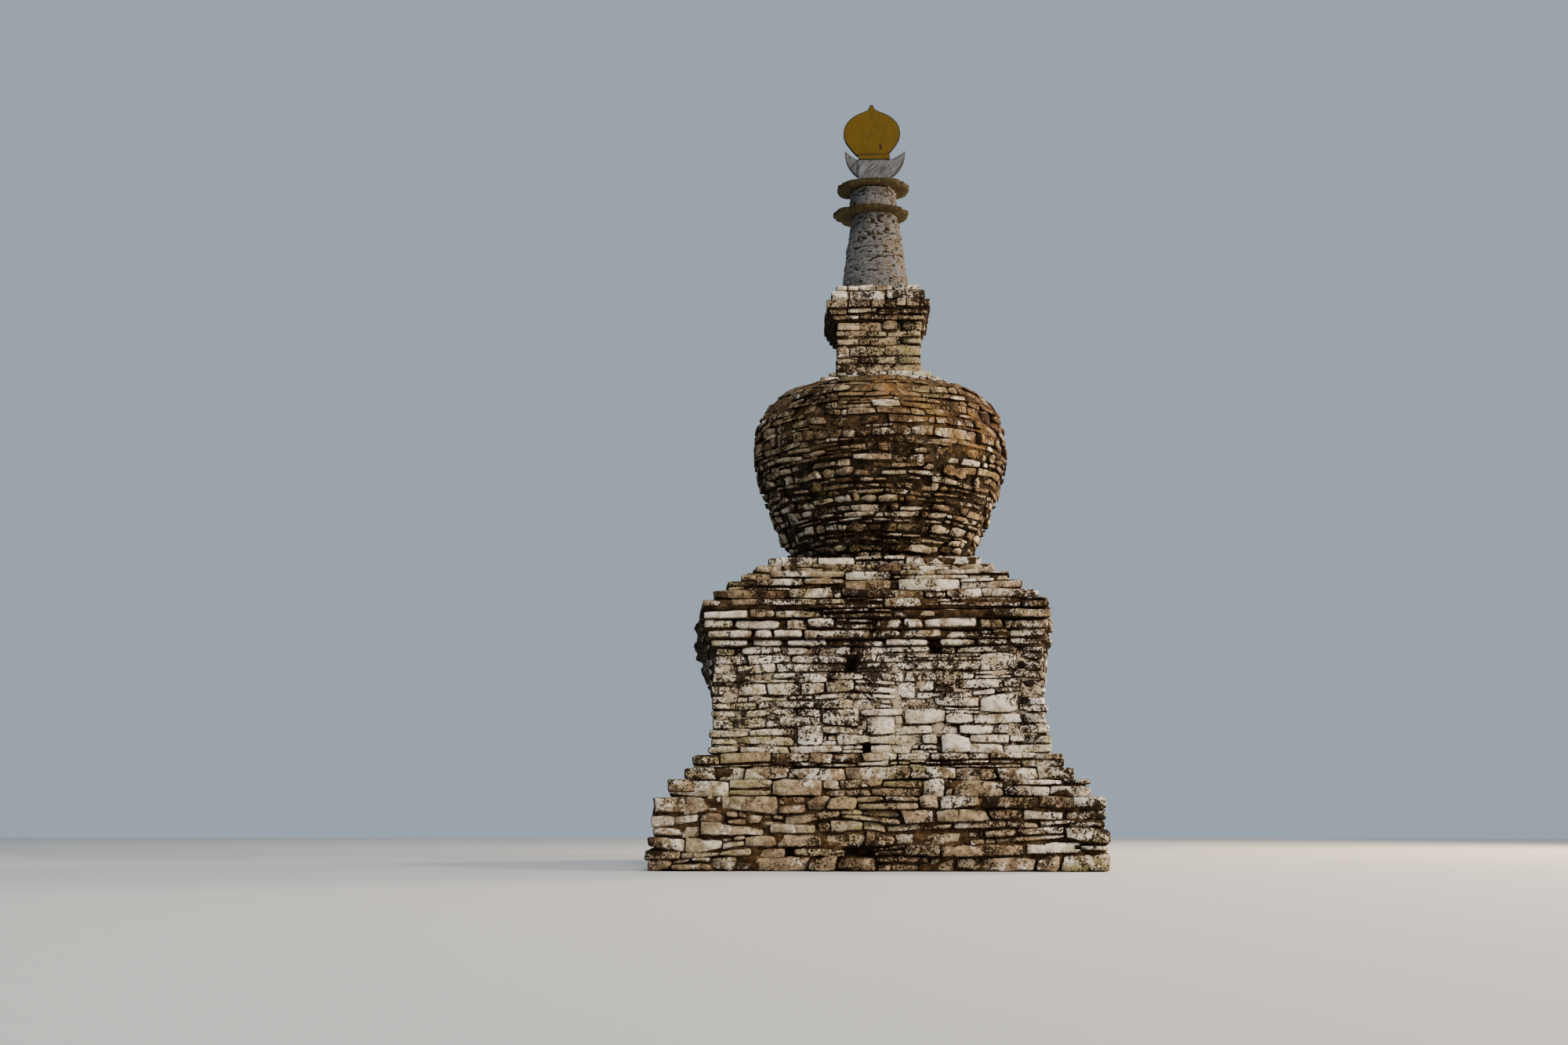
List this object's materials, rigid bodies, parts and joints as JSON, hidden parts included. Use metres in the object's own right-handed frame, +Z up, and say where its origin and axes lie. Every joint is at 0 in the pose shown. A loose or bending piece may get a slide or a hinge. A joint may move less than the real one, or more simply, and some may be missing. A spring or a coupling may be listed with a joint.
{
  "type": "village stupa of whitewashed field stone",
  "caption": "Free-standing masonry stupa: stepped plinth, square throne with corbelled cornice, vase-shaped dome, harmika, round spire with slate discs, moon and sun.",
  "frame": {"origin": "middle of the plinth's footprint, at ground level", "axes": "+Z up along the stupa's axis, -Y towards the front, the side that the sun plate faces"},
  "size_m": [2.854, 2.854, 5.614],
  "materials": {
    "bare_stone": "flat brown and grey field stones in mud mortar, patchy old whitewash",
    "whitewashed_stone": "flat field stones under peeling whitewash, dark lichen in the joints",
    "dome_stone": "thin brown stones, bare, ochre near the top, blackened by lichen below",
    "harmika_stone": "larger beige stones with worn whitewash",
    "spire_plaster": "thick whitewash over rubble, short dark cracks along the courses",
    "slate": "rough olive-grey slate slab, broken to a round",
    "moon_paint": "weathered grey-white paint on boards",
    "sun_paint": "dull ochre-gold paint on a board, dark worn edge"
  },
  "bodies": {
    "root": {"plinth": "bare_stone", "plinth_step_1": "bare_stone", "plinth_step_2": "bare_stone", "plinth_step_3": "bare_stone", "throne_wall": "whitewashed_stone", "throne_corbel_1": "whitewashed_stone", "throne_corbel_2": "whitewashed_stone", "throne_corbel_3": "whitewashed_stone", "throne_cornice_lower": "whitewashed_stone", "throne_cornice_upper": "whitewashed_stone", "terrace_step_1": "whitewashed_stone", "terrace_step_2": "whitewashed_stone", "terrace_step_3": "whitewashed_stone", "terrace_step_4": "whitewashed_stone", "terrace_step_5": "whitewashed_stone", "dome": "dome_stone", "dome_step_1": "harmika_stone", "dome_step_2": "harmika_stone", "dome_step_3": "harmika_stone", "harmika_wall": "harmika_stone", "harmika_side_corbel_left": "harmika_stone", "harmika_side_corbel_right": "harmika_stone", "harmika_corbel_1": "harmika_stone", "harmika_corbel_2": "harmika_stone", "harmika_cornice": "harmika_stone", "harmika_step_1": "harmika_stone", "harmika_step_2": "harmika_stone", "spire_cone": "spire_plaster", "spire_lower_disc": "slate", "spire_neck": "spire_plaster", "spire_upper_disc": "slate", "moon_board": "moon_paint", "moon_horn_left": "moon_paint", "moon_horn_right": "moon_paint", "sun_saddle": "sun_paint", "sun_disc": "sun_paint"}
  },
  "joints": []
}
